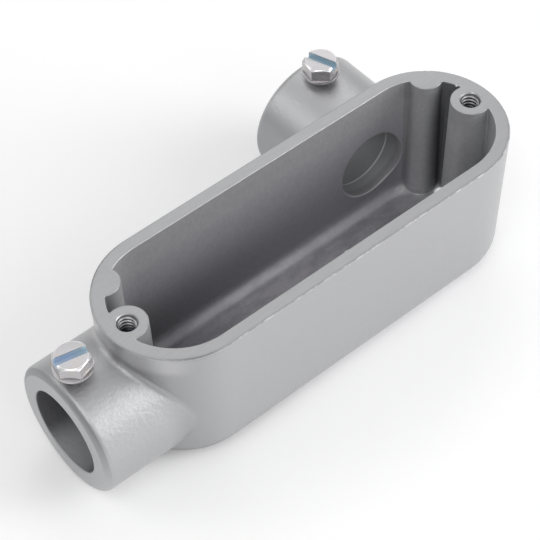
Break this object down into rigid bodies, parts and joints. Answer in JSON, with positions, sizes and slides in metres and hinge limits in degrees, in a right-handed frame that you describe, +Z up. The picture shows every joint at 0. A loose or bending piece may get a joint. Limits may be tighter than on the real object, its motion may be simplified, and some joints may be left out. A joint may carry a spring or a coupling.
{
  "type": "conduit body",
  "caption": "Open die-cast conduit body: a round-ended chamber with a socket hub on its end and another on its side, each with a set screw.",
  "frame": {"origin": "centre of the flat base, under the middle of the chamber", "axes": "+X along the chamber, away from the end hub; +Y out of the side hub; +Z up, out of the open cover side"},
  "size_m": [0.1296, 0.0613, 0.0411],
  "materials": {
    "cast_aluminium": "as cast, satin",
    "plated_steel": "zinc plated, bright"
  },
  "bodies": {
    "body": {"body_casting": "cast_aluminium"},
    "end_screw": {"end_hub_screw": "plated_steel"},
    "side_screw": {"side_hub_screw": "plated_steel"}
  },
  "joints": [
    {"name": "end_screw_travel", "type": "slide", "parent": "body", "child": "end_screw", "axis": [0, 0, 1], "range_m": [-0.0033, 0.0025]},
    {"name": "side_screw_travel", "type": "slide", "parent": "body", "child": "side_screw", "axis": [0, 0, 1], "range_m": [-0.0013, 0.004]}
  ]
}
